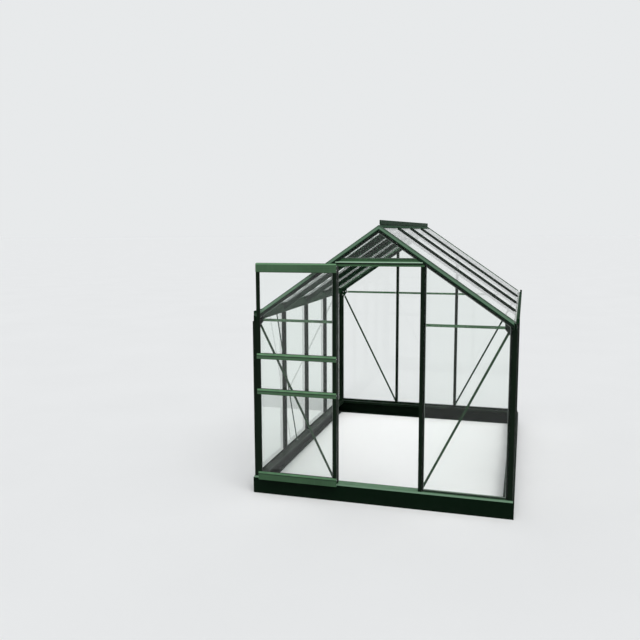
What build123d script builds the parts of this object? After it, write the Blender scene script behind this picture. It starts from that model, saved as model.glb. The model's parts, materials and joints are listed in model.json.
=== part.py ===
from build123d import *
import math
import os

os.makedirs("parts", exist_ok=True)

# Overall size of the greenhouse, all in millimetres
frame_width = 1910.0
frame_length = 2550.0
ridge_height = 2065.0
eave_height = 1379.0
base_height = 120.0
bays_long = 4
bays_wide = 3
gable_corner = 25.0
side_corner = 35.0

# Folded steel base
base_sheet = 3.0
base_step = 8.0
base_flange = 78.0
base_foot = 45.0
base_return = 14.0

# Aluminium sections shared by the walls and the roof
wall = 3.0
glass_thickness = 3.0
wall_inset = 12.0
bar_flange = 24.0
bar_depth = 28.0
bar_channel = 9.0
bar_channel_width = 14.0
bar_slot = 6.0
rib_width = 6.0
rib_height = 5.5
cap_width = 18.0
cap_thickness = 2.5
roof_rib = 8.0
roof_cap = 5.0
bar_lip = 2.0
pane_gap = 4.5

# Sill around the foot of the walls
sill_depth = 68.0
sill_height = 15.0
sill_upstand = 15.0

# Corner posts and door posts
post_size = 33.0
post_outset = 4.0
post_flange = 12.0
door_post_width = 25.0
door_post_front = 2.0

# Eaves beam with its gutter
gutter_width = 36.0
gutter_reach = 6.0
gutter_lip = 30.0
beam_drop = 54.0
beam_floor = 13.0
gutter_setback = 55.0
glass_overhang = 12.0

# Ridge and gable rafters
ridge_crest = 32.0
ridge_rise = 43.0
ridge_crest_width = 8.0
ridge_crest_round = 3.5
ridge_seat = 45.0
ridge_cover = 24.0
ridge_web = 34.0
rafter_face = 24.0
rafter_top = 3.0
rafter_web = 38.0
rafter_cover = 31.0
rafter_seat = 50.0
rafter_bead = 4.5
rafter_relief = 1.8

# Gable rails, braces and corner plates
rail_height = 20.0
rail_lift = 22.0
brace_width = 17.0
head_drop = 27.0
head_height = 56.0
head_lip = 27.0
lip_radius = 4.0
gusset_width = 50.0
gusset_length = 44.0
gusset_tip = 14.0
side_brace_head = 0.70
side_brace_foot = 1.49
pane_inset = 8.0
wall_gap = 1.0

# Sliding door
door_overlap = 7.5
door_lift = 1.0
door_rise = 17.0
door_thickness = 18.0
door_standoff = 18.0
door_wall = 2.0
stile_width = 25.0
head_rail = 64.0
head_bead = 9.0
bottom_rail = 62.0
mid_rail = 40.0
rail_bead = 15.0
rail_face = 5.0
bead_lean = 4.0
face_groove = 2.0
mid_rail_high = 930.0
mid_rail_low = 662.0
groove_depth = 6.0
groove_fit = 0.5
track_height = 18.0
track_ledge = 11.0
track_rib = 4.0
track_end = 5.0
wheel_radius = 7.0
wheel_width = 6.0
axle_radius = 3.0
running_gap = 0.3
wheel_inset = 110.0
wheel_clear = 2.0
guide_length = 40.0
guide_height = 10.0
guide_gap = 5.0

# Roof vent in the second bay of the left slope
vent_bay = 1
vent_length = 536.0
vent_start = 26.0
vent_rail = 22.0
vent_height = 12.0

# Sizes that follow from the ones above
half_width = frame_width / 2
base_half = half_width + base_step
door_reach = door_standoff + door_thickness
front_y = -(frame_length - door_reach) / 2
back_y = front_y + frame_length
middle_y = (front_y + back_y) / 2
side_bay = (frame_length - 2 * side_corner) / bays_long
front_bay = (frame_width - 2 * gable_corner) / bays_wide
sill_top = base_height + sill_height
post_foot = sill_top + sill_upstand
seat_x = half_width + gutter_reach - gutter_width
apex_z = ridge_height - ridge_rise
pitch = math.atan2(apex_z - eave_height, seat_x)
slope_length = seat_x / math.cos(pitch)
beam_bottom = eave_height - beam_drop
gutter_floor = eave_height - beam_floor
side_bars = [middle_y + (k - bays_long / 2) * side_bay for k in range(1, bays_long)]
vent_foot = vent_start + vent_length
pane_start = 2 * ridge_crest_width
inner_face = wall_inset + bar_depth
rail_top = beam_bottom + rail_lift
rail_bottom = rail_top - rail_height
rail_middle = rail_top - rail_height / 2
post_inner = half_width - post_outset - post_size
door_post_x = front_bay / 2
door_side = door_post_x - door_post_width / 2
door_post_far = door_post_x + door_post_width / 2
door_width = 2 * (door_side + door_overlap)
door_right = -door_side
door_left = door_right - door_width
door_bottom = base_height + door_lift
door_body = door_reach - rail_face
door_slot = -(door_body + door_standoff + glass_thickness) / 2

# Local frames: along the wall, inward from its outer face, and up
FRONT = Plane(origin=(0, front_y, 0), x_dir=(1, 0, 0), z_dir=(0, 0, 1))
BACK = Plane(origin=(0, back_y, 0), x_dir=(-1, 0, 0), z_dir=(0, 0, 1))
RIGHT = Plane(origin=(half_width, middle_y, 0), x_dir=(0, 1, 0), z_dir=(0, 0, 1))
BASE_RIGHT = Plane(origin=(base_half, middle_y, 0), x_dir=(0, 1, 0), z_dir=(0, 0, 1))
ACROSS_MIDDLE = Plane(origin=(0, middle_y, 0), z_dir=(0, 1, 0))
# Roof frame: down the right slope, along the ridge, and out of the roof
ROOF = Plane(
    origin=(0, 0, apex_z),
    x_dir=(math.cos(pitch), 0, -math.sin(pitch)),
    z_dir=(math.sin(pitch), 0, math.cos(pitch)),
)


def roof_z(x):
    """Height of the glass seat of the roof at a distance from the ridge."""
    return apex_z - abs(x) * math.tan(pitch)


def gable_edge(x, inset):
    """Height of the line that runs below the glass seat of a gable."""
    return roof_z(x) - inset / math.cos(pitch)


def roof_point(along, out):
    """Point on the right slope in the plane of the gable."""
    x = along * math.cos(pitch) + out * math.sin(pitch)
    z = apex_z - along * math.sin(pitch) + out * math.cos(pitch)
    return (x, z)


# Heights of the track and the door, hung from the rafters at the door posts
track_low = gable_edge(door_side, rafter_web) - head_drop
door_top = track_low + door_rise


def section(rects):
    """Outline made of the flat walls of one thin walled section."""
    outline = None
    for u0, u1, v0, v1 in rects:
        strip = Pos((u0 + u1) / 2, (v0 + v1) / 2) * Rectangle(u1 - u0, v1 - v0)
        outline = strip if outline is None else outline + strip
    return outline


def run(outline, start, end):
    """Outline in depth and height, run along the wall."""
    across = Plane(origin=(start, 0, 0), x_dir=(0, 1, 0), z_dir=(1, 0, 0))
    return extrude(across * outline, end - start, dir=(1, 0, 0))


def beam(rects, start, end):
    """Thin walled section in depth and height, run along the wall."""
    return run(section(rects), start, end)


def upright(rects, low, high):
    """Section in plan, run upward."""
    return extrude(Plane.XY.offset(low) * section(rects), high - low)


def plate(outline, depth0, depth1):
    """Flat shape seen from outside the wall, between two depths."""
    facing = Plane(origin=(0, depth0, 0), x_dir=(1, 0, 0), z_dir=(0, -1, 0))
    return extrude(facing * outline, depth1 - depth0, dir=(0, 1, 0))


def span(x0, x1, y0, y1, z0, z1):
    """Plain block between two corners."""
    middle = Pos((x0 + x1) / 2, (y0 + y1) / 2, (z0 + z1) / 2)
    return middle * Box(x1 - x0, y1 - y0, z1 - z0)


def put(frame, piece):
    return frame.location * piece


def other_side(piece):
    return mirror(piece, Plane.YZ)


def other_end(piece):
    return mirror(piece, ACROSS_MIDDLE)


def save(name, *pieces):
    solids = []
    for piece in pieces:
        solids.extend(piece.solids())
    shape = solids[0] if len(solids) == 1 else Compound(children=solids)
    export_step(shape, "parts/" + name + ".step")


def mitred(piece, length, depth):
    """Cut both ends of a wall member at forty five degrees."""
    half = length / 2
    outline = Polygon(
        (-half, 0), (half, 0), (half - depth, depth), (depth - half, depth), align=None
    )
    return piece & extrude(outline, ridge_height)


def base_member(length):
    """Folded steel base: face, top flange, foot flange and its return."""
    rects = [
        (0, base_sheet, 0, base_height),
        (0, base_flange, base_height - base_sheet, base_height),
        (0, base_foot, 0, base_sheet),
        (base_foot - base_sheet, base_foot, 0, base_return),
    ]
    return mitred(beam(rects, -length / 2, length / 2), length, base_flange)


def sill_member(length, upstands):
    """Sill with outer and inner lips and the upstand that backs the glass."""
    rects = [
        (0, wall, base_height, sill_top),
        (0, sill_depth, sill_top - wall, sill_top),
        (sill_depth - wall, sill_depth, base_height, sill_top),
    ]
    sill = mitred(beam(rects, -length / 2, length / 2), length, sill_depth)
    back = [(wall_inset, wall_inset + wall, sill_top - wall, post_foot)]
    for start, end in upstands:
        sill = sill + beam(back, start, end)
    return sill


def bar_walls(seat):
    """Walls of a glazing bar: flange, web and bolt channel."""
    inner = seat + bar_depth
    channel = inner - bar_channel
    half_channel = bar_channel_width / 2
    lip = inner - bar_lip
    return [
        (-bar_flange / 2, bar_flange / 2, seat, seat + wall),
        (-wall / 2, wall / 2, seat, channel),
        (-half_channel, half_channel, channel, channel + wall),
        (-half_channel, wall - half_channel, channel, inner),
        (half_channel - wall, half_channel, channel, inner),
        (-half_channel, -bar_slot / 2, lip, inner),
        (bar_slot / 2, half_channel, lip, inner),
    ]


def rib_walls(seat, height, cap):
    """Outer rib of a glazing bar with the cap that holds two panes."""
    top = seat - height
    return [
        (-rib_width / 2, rib_width / 2, top, seat),
        (-cap_width / 2, cap_width / 2, top - cap, top),
    ]


def under_rafters():
    """Region of a gable below the webs of its rafters."""
    far = seat_x
    edge = gable_edge(far, rafter_web)
    outline = Polygon(
        (-far, 0), (far, 0), (far, edge), (0, gable_edge(0, rafter_web)), (-far, edge), align=None
    )
    return plate(outline, -door_reach, inner_face + wall)


def glazing_post(at, low, high):
    """Upright glazing bar standing on the sill upstand."""
    rects = bar_walls(wall_inset) + rib_walls(wall_inset, rib_height, cap_thickness)
    bar = upright(rects, low, high)
    return Pos(at, 0, 0) * bar


def gable_post(at):
    """Glazing bar of the rear wall, cut to the slope of the rafters."""
    return glazing_post(at, post_foot, ridge_height) & under_rafters()


def corner_post():
    """Hollow corner post with a glass seat on each of its two walls."""
    near = post_outset
    far = near + post_size
    seat = wall_inset
    rects = [
        (near, far, near, near + wall),
        (near, far, far - wall, far),
        (near, near + wall, near, far),
        (far - wall, far, near, far),
        (far, far + post_flange, seat, seat + wall),
        (seat, seat + wall, far, far + post_flange),
    ]
    return upright(rects, sill_top, beam_bottom)


def door_post():
    """Hollow door post with a seat for the side pane, right hand one."""
    near = door_side
    far = door_post_far
    front = door_post_front
    back = inner_face
    rects = [
        (near, far, front, front + wall),
        (near, far, back - wall, back),
        (near, near + wall, front, back),
        (far - wall, far, front, back),
        (far, far + post_flange, wall_inset, wall_inset + wall),
    ]
    return upright(rects, sill_top, ridge_height) & under_rafters()


def eaves_beam():
    """Eaves beam, right side: two webs, a floor and the gutter lip."""
    inner = gutter_width - gutter_reach
    outer = -gutter_reach
    top = roof_z(seat_x + wall)
    seat = math.tan(pitch) * wall
    webs = [
        (wall_inset, wall_inset + wall, beam_bottom, gutter_floor),
        (inner - wall, inner, beam_bottom, top),
        (wall_inset, inner, gutter_floor, gutter_floor + wall),
    ]
    gutter = [
        (outer, wall_inset, gutter_floor, gutter_floor + wall),
        (outer, outer + wall, gutter_floor, gutter_floor + gutter_lip),
    ]
    reach = frame_length / 2 - post_outset
    gutter_end = frame_length / 2 - gutter_setback
    wedge = Polygon((inner - wall, top), (inner, top), (inner, top + seat), align=None)
    body = beam(webs, -reach, reach) + run(wedge, -reach, reach)
    return put(RIGHT, body + beam(gutter, -gutter_end, gutter_end))


def ridge_half():
    """Seat and cover flange of the ridge on the right slope."""
    low = glass_thickness
    high = low + cap_thickness
    seat = Polygon(
        (0, apex_z), roof_point(ridge_seat, 0), roof_point(ridge_seat, -wall),
        (0, apex_z - wall / math.cos(pitch)), align=None
    )
    cover = Polygon(
        (0, apex_z + low / math.cos(pitch)), roof_point(ridge_cover, low),
        roof_point(ridge_cover, high), (0, apex_z + high / math.cos(pitch)), align=None
    )
    start = front_y + rafter_seat
    end = back_y - rafter_seat
    return plate(seat, start, end) + plate(cover, start, end)


def ridge_bar():
    """Ridge: raised crest, glass seats, cover flanges and a bolt channel."""
    foot = apex_z - ridge_web
    start = front_y + rafter_seat
    end = back_y - rafter_seat
    web = span(-wall / 2, wall / 2, start, end, foot + bar_channel - wall, ridge_height - ridge_crest / 2)
    crest = Pos(0, ridge_height - ridge_crest / 2) * RectangleRounded(
        ridge_crest_width, ridge_crest, ridge_crest_round
    )
    channel = Pos(0, foot + bar_channel / 2) * (
        Rectangle(bar_channel_width, bar_channel)
        - Pos(0, -wall / 2) * Rectangle(bar_channel_width - 2 * wall, bar_channel - wall)
    )
    half = ridge_half()
    return web + half + other_side(half) + plate(crest, start, end) + plate(channel, start, end)


def within_slope(piece):
    """Keep what lies between the ridge line and the inner face of the eaves."""
    return piece & span(0, seat_x, 2 * front_y, 2 * back_y, 0, 2 * ridge_height)


def rafter():
    """Gable rafter of the front, right side: beaded face, cover, seat and web."""
    face = post_outset
    cover = glass_thickness + rafter_top
    front = face - rafter_relief
    rects = [
        (face, face + wall, -rafter_face, cover),
        (front, face, cover - rafter_bead, cover),
        (front, face, -rafter_face, rafter_bead - rafter_face),
        (face, face + rafter_cover, glass_thickness, cover),
        (face, rafter_seat, -wall, 0),
        (wall_inset, wall_inset + wall, -rafter_web, 0),
    ]
    bar = beam(rects, -rafter_web, slope_length + rafter_web)
    return within_slope(put(ROOF, Pos(0, front_y, 0) * bar))


def roof_bar(at):
    """Glazing bar of the right slope."""
    main = [(a, b, -d, -c) for a, b, c, d in bar_walls(0)]
    rib = [(a, b, -d, -c) for a, b, c, d in rib_walls(0, roof_rib, roof_cap)]
    end = slope_length + bar_depth
    bar = beam(main, ridge_seat, end) + beam(rib, ridge_cover, end)
    return within_slope(put(ROOF, Pos(0, at, 0) * bar))


def slope_pane(y0, y1, start):
    """One pane of the right slope, its foot over the gutter."""
    pane = span(start, slope_length + glass_overhang, y0, y1, 0, glass_thickness)
    return put(ROOF, pane)


def slope_bays():
    """Start and end of each roof pane along the ridge."""
    edge = post_outset + wall + wall_gap
    starts = [front_y + edge] + [y + pane_gap for y in side_bars]
    ends = [y - pane_gap for y in side_bars] + [back_y - edge]
    return list(zip(starts, ends))


def slope_panes(vent):
    """Panes of the right slope, the one under the vent cut short."""
    panes = []
    for number, (y0, y1) in enumerate(slope_bays()):
        start = vent_foot + wall_gap if vent and number == vent_bay else pane_start
        panes.append(slope_pane(y0, y1, start))
    return panes


def vent_ring(inset, low, height):
    """Block of the vent, set in from its edges, over the caps of two bars."""
    reach = cap_width / 2 - inset
    y0 = side_bars[vent_bay - 1] - reach
    y1 = side_bars[vent_bay] + reach
    return span(vent_start + inset, vent_foot - inset, y0, y1, low, low + height)


def vent_frame():
    low = roof_rib + roof_cap
    ring = vent_ring(0, low, vent_height) - vent_ring(vent_rail, 0, 2 * low + vent_height)
    return put(ROOF, ring)


def vent_glass():
    low = roof_rib + roof_cap + wall
    return put(ROOF, vent_ring(vent_rail, low, glass_thickness))


def vent_sill():
    """Cross bar that closes the roof under the foot of the vent."""
    y0 = side_bars[vent_bay - 1] + cap_width / 2
    y1 = side_bars[vent_bay] - cap_width / 2
    stand = span(vent_foot - wall, vent_foot, y0, y1, 0, roof_rib + roof_cap)
    ledge = (bar_flange - cap_width) / 2
    seat = span(vent_foot - vent_rail, vent_foot + vent_rail, y0 + ledge, y1 - ledge, -wall, 0)
    return put(ROOF, stand + seat)


def wall_pane(t0, t1, low, high):
    return span(t0, t1, wall_inset - glass_thickness, wall_inset, low, high)


def gable_pane(corners):
    facing = Polygon(*corners, align=None)
    return plate(facing, wall_inset - glass_thickness, wall_inset)


def side_gable_panes(near):
    """Lower and upper pane of a bay beside the middle one."""
    low = rail_middle + wall_gap
    far = seat_x - wall_gap
    lower = wall_pane(near, post_inner - wall_gap, sill_top, rail_middle - wall_gap)
    upper = gable_pane([
        (near, low), (far, low), (far, gable_edge(far, pane_inset)),
        (near, gable_edge(near, pane_inset)),
    ])
    return [lower, upper]


def peak_pane(near, low):
    """Pane under the peak, between two uprights."""
    side = gable_edge(near, pane_inset)
    return gable_pane([
        (-near, low), (near, low), (near, side), (0, gable_edge(0, pane_inset)), (-near, side),
    ])


def long_wall_panes():
    """Panes of the right long wall, one for each bay."""
    far = frame_length / 2 - post_outset - post_size - wall_gap
    bars = [y - middle_y for y in side_bars]
    starts = [-far] + [t + pane_gap for t in bars]
    ends = [t - pane_gap for t in bars] + [far]
    top = gutter_floor - 2 * wall
    return [put(RIGHT, wall_pane(t0, t1, sill_top, top)) for t0, t1 in zip(starts, ends)]


def brace(t0, z0, t1, z1, depth, low, high, near, far):
    """Flat diagonal, cut square to the members at both ends."""
    length = math.hypot(t1 - t0, z1 - z0)
    tilt = math.degrees(math.atan2(z1 - z0, t1 - t0))
    middle = Pos((t0 + t1) / 2, (z0 + z1) / 2)
    strip = middle * Rot(0, 0, tilt) * Rectangle(2 * length, brace_width)
    window = Pos((near + far) / 2, (low + high) / 2) * Rectangle(far - near, high - low)
    return plate(strip & window, depth, depth + wall)


def gable_brace(near):
    """Diagonal of a side bay, from the sill at its inner post to the gusset."""
    depth = wall_inset + 2 * wall
    top = post_inner - wall_inset
    return brace(near, post_foot, top, rail_bottom, depth, sill_top, rail_bottom, near, post_inner)


def long_wall_brace():
    """Diagonal of a long wall, right side, from the eaves to the sill."""
    half = frame_length / 2
    head = side_brace_head * side_bay - half
    foot = side_brace_foot * side_bay - half
    top = beam_bottom + brace_width
    return put(RIGHT, brace(head, beam_bottom, foot, sill_top, inner_face, sill_top, top, -half, half))


def gable_rail(start, end):
    """Flat rail at eaves height, behind the flanges of the posts."""
    return beam([(wall_inset + wall, wall_inset + 2 * wall, rail_bottom, rail_top)], start, end)


def gusset():
    """Corner plate behind post, rail and rafter, narrowing to its foot."""
    near = post_inner - gusset_width
    low = rail_bottom - gusset_length
    outline = Polygon(
        (near, rail_bottom), (near, gable_edge(near, rafter_web)),
        (seat_x, gable_edge(seat_x, rafter_web)), (seat_x, beam_bottom), (post_inner, beam_bottom),
        (post_inner, low), (post_inner - gusset_tip, low), align=None
    )
    return plate(outline, wall_inset + wall, wall_inset + 2 * wall)


def door_track():
    """Track in front of the door posts: web, ledge and the rib of the wheels."""
    front = door_post_front - wall
    ledge = front - track_ledge
    rects = [
        (front, door_post_front, track_low, track_low + track_height),
        (ledge, front, track_low, track_low + wall),
        (ledge, ledge + door_wall, track_low, track_low + wall + track_rib),
    ]
    return beam(rects, door_left - track_end, door_post_far)


def head_bar():
    """Plate between the rafters over the doorway, with its rounded lip."""
    middle = track_low + head_lip
    facing = Pos(0, track_low + head_height / 2) * Rectangle(2 * door_side, head_height)
    face = plate(facing, wall_inset, wall_inset + wall) & under_rafters()
    shelf = [(-lip_radius, wall_inset, middle - wall / 2, middle + wall / 2)]
    bead = Pos(-lip_radius, middle) * Circle(lip_radius)
    body = face + beam(shelf, -door_side, door_side)
    return body + run(bead, -door_post_x, door_post_x)


def door_walls(size, near_groove, far_groove):
    """Hollow door section, with a slot for the glass at either edge."""
    front = -door_body
    back = -door_standoff
    slot = door_slot
    floor = groove_depth
    rects = [
        (0, size, front, front + door_wall),
        (0, size, back - door_wall, back),
    ]
    for grooved, edge, inward in ((near_groove, 0, 1), (far_groove, size, -1)):
        if grooved:
            parts = [
                (floor, floor + door_wall, front, back),
                (0, floor, slot - door_wall, slot),
                (0, floor, slot + glass_thickness, slot + glass_thickness + door_wall),
                (0, door_wall, front, slot),
                (0, door_wall, slot + glass_thickness, back),
            ]
        else:
            parts = [(0, door_wall, front, back)]
        for u0, u1, v0, v1 in parts:
            ends = sorted((edge + inward * u0, edge + inward * u1))
            rects.append((ends[0], ends[1], v0, v1))
    return rects


def door_stile(at, near_groove):
    """Upright of the door between its head rail and its bottom rail."""
    rects = door_walls(stile_width, near_groove, not near_groove)
    stile = upright(rects, door_bottom + bottom_rail, door_top - head_rail)
    return Pos(at, 0, 0) * stile


def rail_front(low, height, bead):
    """Full width face of a door rail: flat band, groove and leaning bead."""
    front = -door_reach
    back = -door_body
    top = low + height
    floor = front + face_groove / 2
    outline = Polygon(
        (front, low), (front, top - bead - face_groove), (floor, top - bead - face_groove),
        (floor, top - bead), (front, top - bead), (front + bead_lean, top), (back, top),
        (back, low), align=None
    )
    return run(outline, door_left, door_right)


def door_rail(low, height, bead, near_groove, far_groove, start, end):
    """Door rail: hollow body behind a face that runs over both stiles."""
    rects = [(c, d, low + a, low + b) for a, b, c, d in door_walls(height, near_groove, far_groove)]
    return beam(rects, start, end) + rail_front(low, height, bead)


def door_middle_rail(rise):
    start = door_left + stile_width
    end = door_right - stile_width
    return put(FRONT, door_rail(door_bottom + rise, mid_rail, rail_bead, True, True, start, end))


def door_pane(low, high):
    """Pane of the door with its edges in the slots."""
    bite = groove_depth - groove_fit
    start = door_left + stile_width - bite
    end = door_right - stile_width + bite
    pane = span(start, end, door_slot, door_slot + glass_thickness, low - bite, high + bite)
    return put(FRONT, pane)


def door_roller(at):
    """Wheel on its axle, standing on the ledge of the track."""
    axis = track_low + wall + wheel_radius + running_gap
    outer = door_post_front - wall - wheel_clear
    facing = Plane(origin=(at, outer, axis), x_dir=(1, 0, 0), z_dir=(0, -1, 0))
    wheel = extrude(facing * Circle(wheel_radius), wheel_width)
    axle = extrude(facing * Circle(axle_radius), door_standoff + outer)
    return put(FRONT, wheel + axle)


def door_guide(at):
    """Block on the back of the door that faces the sill lip."""
    low = door_bottom + wall
    block = span(at, at + guide_length, -door_standoff, -guide_gap, low, low + guide_height)
    return put(FRONT, block)


# Steel base around the foot
base_gable = base_member(2 * base_half)
base_right = put(BASE_RIGHT, base_member(frame_length))
save("base_front", put(FRONT, base_gable))
save("base_back", put(BACK, base_gable))
save("base_right", base_right)
save("base_left", other_side(base_right))

# Sills on the base
gable_reach = post_inner - post_flange
side_reach = frame_length / 2 - post_outset - post_size - post_flange
door_seat = door_post_far + post_flange
front_upstands = [(-gable_reach, -door_seat), (door_seat, gable_reach)]
sill_right = put(RIGHT, sill_member(frame_length, [(-side_reach, side_reach)]))
save("sill_front", put(FRONT, sill_member(frame_width, front_upstands)))
save("sill_back", put(BACK, sill_member(frame_width, [(-gable_reach, gable_reach)])))
save("sill_right", sill_right)
save("sill_left", other_side(sill_right))

# Corner posts
post_left = Pos(-half_width, front_y, 0) * corner_post()
post_right = other_side(post_left)
save("corner_post_front_left", post_left)
save("corner_post_front_right", post_right)
save("corner_post_back_left", other_end(post_left))
save("corner_post_back_right", other_end(post_right))

# Door posts and the bars of the other walls
door_post_right = put(FRONT, door_post())
save("door_post_right", door_post_right)
save("door_post_left", other_side(door_post_right))
save(
    "back_wall_bars",
    put(BACK, gable_post(-door_post_x)),
    put(BACK, gable_post(door_post_x)),
)
long_bars = [put(RIGHT, glazing_post(y - middle_y, post_foot, beam_bottom)) for y in side_bars]
save("side_bars_right", *long_bars)
save("side_bars_left", *[other_side(bar) for bar in long_bars])

# Eaves, ridge and rafters
eaves_right = eaves_beam()
save("eaves_beam_right", eaves_right)
save("eaves_beam_left", other_side(eaves_right))
save("ridge_bar", ridge_bar())
rafter_right = rafter()
rafter_left = other_side(rafter_right)
save("rafter_front_right", rafter_right)
save("rafter_front_left", rafter_left)
save("rafter_back_right", other_end(rafter_right))
save("rafter_back_left", other_end(rafter_left))
slope_bars = [roof_bar(y) for y in side_bars]
save("roof_bars_right", *slope_bars)
save("roof_bars_left", *[other_side(bar) for bar in slope_bars])

# Head of the doorway
save("door_track", put(FRONT, door_track()))
save("head_bar", put(FRONT, head_bar()))

# Rails at eaves height and the corner plates
rail_end = post_inner - gusset_width
front_rail = put(FRONT, gable_rail(door_post_far, rail_end))
save("front_rails", front_rail, other_side(front_rail))
front_gusset = put(FRONT, gusset())
save("front_gussets", front_gusset, other_side(front_gusset))
back_gusset = other_end(front_gusset)
save("back_gussets", back_gusset, other_side(back_gusset))
bar_side = wall / 2
back_rail = put(BACK, gable_rail(door_post_x + bar_side, rail_end))
middle_rail = put(BACK, gable_rail(bar_side - door_post_x, door_post_x - bar_side))
save("back_rails", back_rail, middle_rail, other_side(back_rail))

# Diagonal braces
front_brace = put(FRONT, gable_brace(door_post_far))
save("front_braces", front_brace, other_side(front_brace))
back_brace = put(BACK, gable_brace(door_post_x + bar_side))
save("back_braces", back_brace, other_side(back_brace))
side_brace = long_wall_brace()
save("side_brace_right", side_brace)
save("side_brace_left", other_side(side_brace))

# Glass of the walls
front_panes = [put(FRONT, pane) for pane in side_gable_panes(door_post_far + wall_gap)]
front_peak = put(FRONT, peak_pane(door_side - wall_gap, track_low + head_height))
save("glass_front", *front_panes, *[other_side(pane) for pane in front_panes], front_peak)
back_near = door_post_x - pane_gap
back_panes = [put(BACK, pane) for pane in side_gable_panes(door_post_x + pane_gap)]
back_middle = [
    put(BACK, wall_pane(-back_near, back_near, sill_top, rail_middle - wall_gap)),
    put(BACK, peak_pane(back_near, rail_middle + wall_gap)),
]
save("glass_back", *back_panes, *[other_side(pane) for pane in back_panes], *back_middle)
side_panes = long_wall_panes()
save("glass_right", *side_panes)
save("glass_left", *[other_side(pane) for pane in side_panes])

# Glass of the roof and the vent
save("glass_roof_right", *slope_panes(False))
save("glass_roof_left", *[other_side(pane) for pane in slope_panes(True)])
save("vent_frame", other_side(vent_frame()))
save("vent_glass", other_side(vent_glass()))
save("vent_sill", other_side(vent_sill()))

# Sliding door, parked in front of the left bay
head_low = door_top - head_rail
bottom_top = door_bottom + bottom_rail
lower_mid = door_bottom + mid_rail_low
upper_mid = door_bottom + mid_rail_high
left_stile = door_stile(door_left, False)
right_stile = door_stile(door_right - stile_width, True)
save("door_stiles", put(FRONT, left_stile), put(FRONT, right_stile))
head = door_rail(head_low, head_rail, head_bead, True, False, door_left, door_right)
foot = door_rail(door_bottom, bottom_rail, rail_bead, False, True, door_left, door_right)
save("door_head_rail", put(FRONT, head))
save("door_bottom_rail", put(FRONT, foot))
save("door_mid_rails", door_middle_rail(mid_rail_high), door_middle_rail(mid_rail_low))
save(
    "door_glass",
    door_pane(upper_mid + mid_rail, head_low),
    door_pane(lower_mid + mid_rail, upper_mid),
    door_pane(bottom_top, lower_mid),
)
save("door_rollers", door_roller(door_left + wheel_inset), door_roller(door_right - wheel_inset))
guide_end = wheel_inset + guide_length
save("door_guides", door_guide(door_left + wheel_inset), door_guide(door_right - guide_end))
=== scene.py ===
# %% [markdown]
# A small glass greenhouse: a green painted aluminium frame on a low folded steel base, glass on
# every side, and a sliding door parked open in front of the left bay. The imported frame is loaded
# first, and the slope of the roof is measured from it, because rafters, seals and panes all follow
# that slope. Finishes and fine pieces are then built around it, in metres, in the frame's place.

# %% Load the frame
import json
import math

import bpy
from mathutils import Matrix, Vector


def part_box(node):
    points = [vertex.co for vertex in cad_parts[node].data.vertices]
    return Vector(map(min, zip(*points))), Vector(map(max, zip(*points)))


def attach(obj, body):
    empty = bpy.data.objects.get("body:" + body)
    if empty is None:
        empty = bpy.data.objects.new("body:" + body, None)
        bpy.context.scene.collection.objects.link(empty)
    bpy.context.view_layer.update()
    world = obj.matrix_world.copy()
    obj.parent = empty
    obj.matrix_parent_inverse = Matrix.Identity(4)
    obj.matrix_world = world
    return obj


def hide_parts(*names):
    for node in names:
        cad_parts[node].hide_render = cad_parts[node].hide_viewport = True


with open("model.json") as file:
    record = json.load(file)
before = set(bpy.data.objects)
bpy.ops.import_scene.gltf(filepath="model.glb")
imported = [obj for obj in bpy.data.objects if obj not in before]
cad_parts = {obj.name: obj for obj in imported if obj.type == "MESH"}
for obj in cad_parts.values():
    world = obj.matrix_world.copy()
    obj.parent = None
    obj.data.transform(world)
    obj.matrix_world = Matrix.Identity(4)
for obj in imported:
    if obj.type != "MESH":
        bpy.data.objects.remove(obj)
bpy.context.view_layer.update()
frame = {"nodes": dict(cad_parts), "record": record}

nodes = frame["nodes"]
ridge_rise, eave_above_beam = 0.043, 0.054
beam_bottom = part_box("eaves_beam_right")[0][2]
seat_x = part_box("eaves_beam_right")[0][0]
eave_z = beam_bottom + eave_above_beam
apex_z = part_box("ridge_bar")[1][2] - ridge_rise
pitch = math.atan2(apex_z - eave_z, seat_x)
slope_across, slope_up = math.sin(pitch), math.cos(pitch)
slope_seat = apex_z * slope_up
print("nodes in the frame:", len(nodes), "pitch of the roof:", round(math.degrees(pitch), 2))

# %% [markdown]
# The camera stands in front of the right corner at eye height, as in the photograph. Its place,
# heading and focal length come from a camera fitted to the corners of the base and the roof lines.
# A camera looks down its own negative Z, so it is turned, leaned back from the floor and rolled.

# %% Camera
camera_from_front = Vector((0.9858, -4.8032, 1.9841))
heading, tilt, roll = 16.387, -7.206, -0.236
focal_length, sensor_width = 39.25, 36.0
front_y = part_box("base_front")[0][1]

lens = bpy.data.cameras.new("camera")
lens.lens = focal_length
lens.sensor_width = sensor_width
camera = bpy.data.objects.new("camera", lens)
bpy.context.scene.collection.objects.link(camera)
turned = Matrix.Rotation(math.radians(heading), 4, "Z")
leaned = Matrix.Rotation(math.radians(90 + tilt), 4, "X")
rolled = Matrix.Rotation(math.radians(roll), 4, "Z")
camera_place = camera_from_front + Vector((0, front_y, 0))
camera.matrix_world = Matrix.Translation(camera_place) @ turned @ leaned @ rolled
bpy.context.scene.camera = camera
print("camera at", [round(value, 3) for value in camera_place])

# %% [markdown]
# Every finish below is made of shader nodes. A few short helpers keep that readable: one adds a
# node, one links or sets a socket, one does a sum, one remaps a range and one mixes two colours.

# %% Node helpers
def add_node(tree, kind, values=None, **settings):
    made = tree.nodes.new(kind)
    for name, value in settings.items():
        setattr(made, name, value)
    for socket, value in (values or {}).items():
        feed(tree, made.inputs[socket], value)
    return made


def feed(tree, socket, value):
    """Link a socket, or set it when the value is a plain number or colour."""
    if isinstance(value, bpy.types.NodeSocket):
        tree.links.new(value, socket)
    else:
        socket.default_value = value


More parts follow.
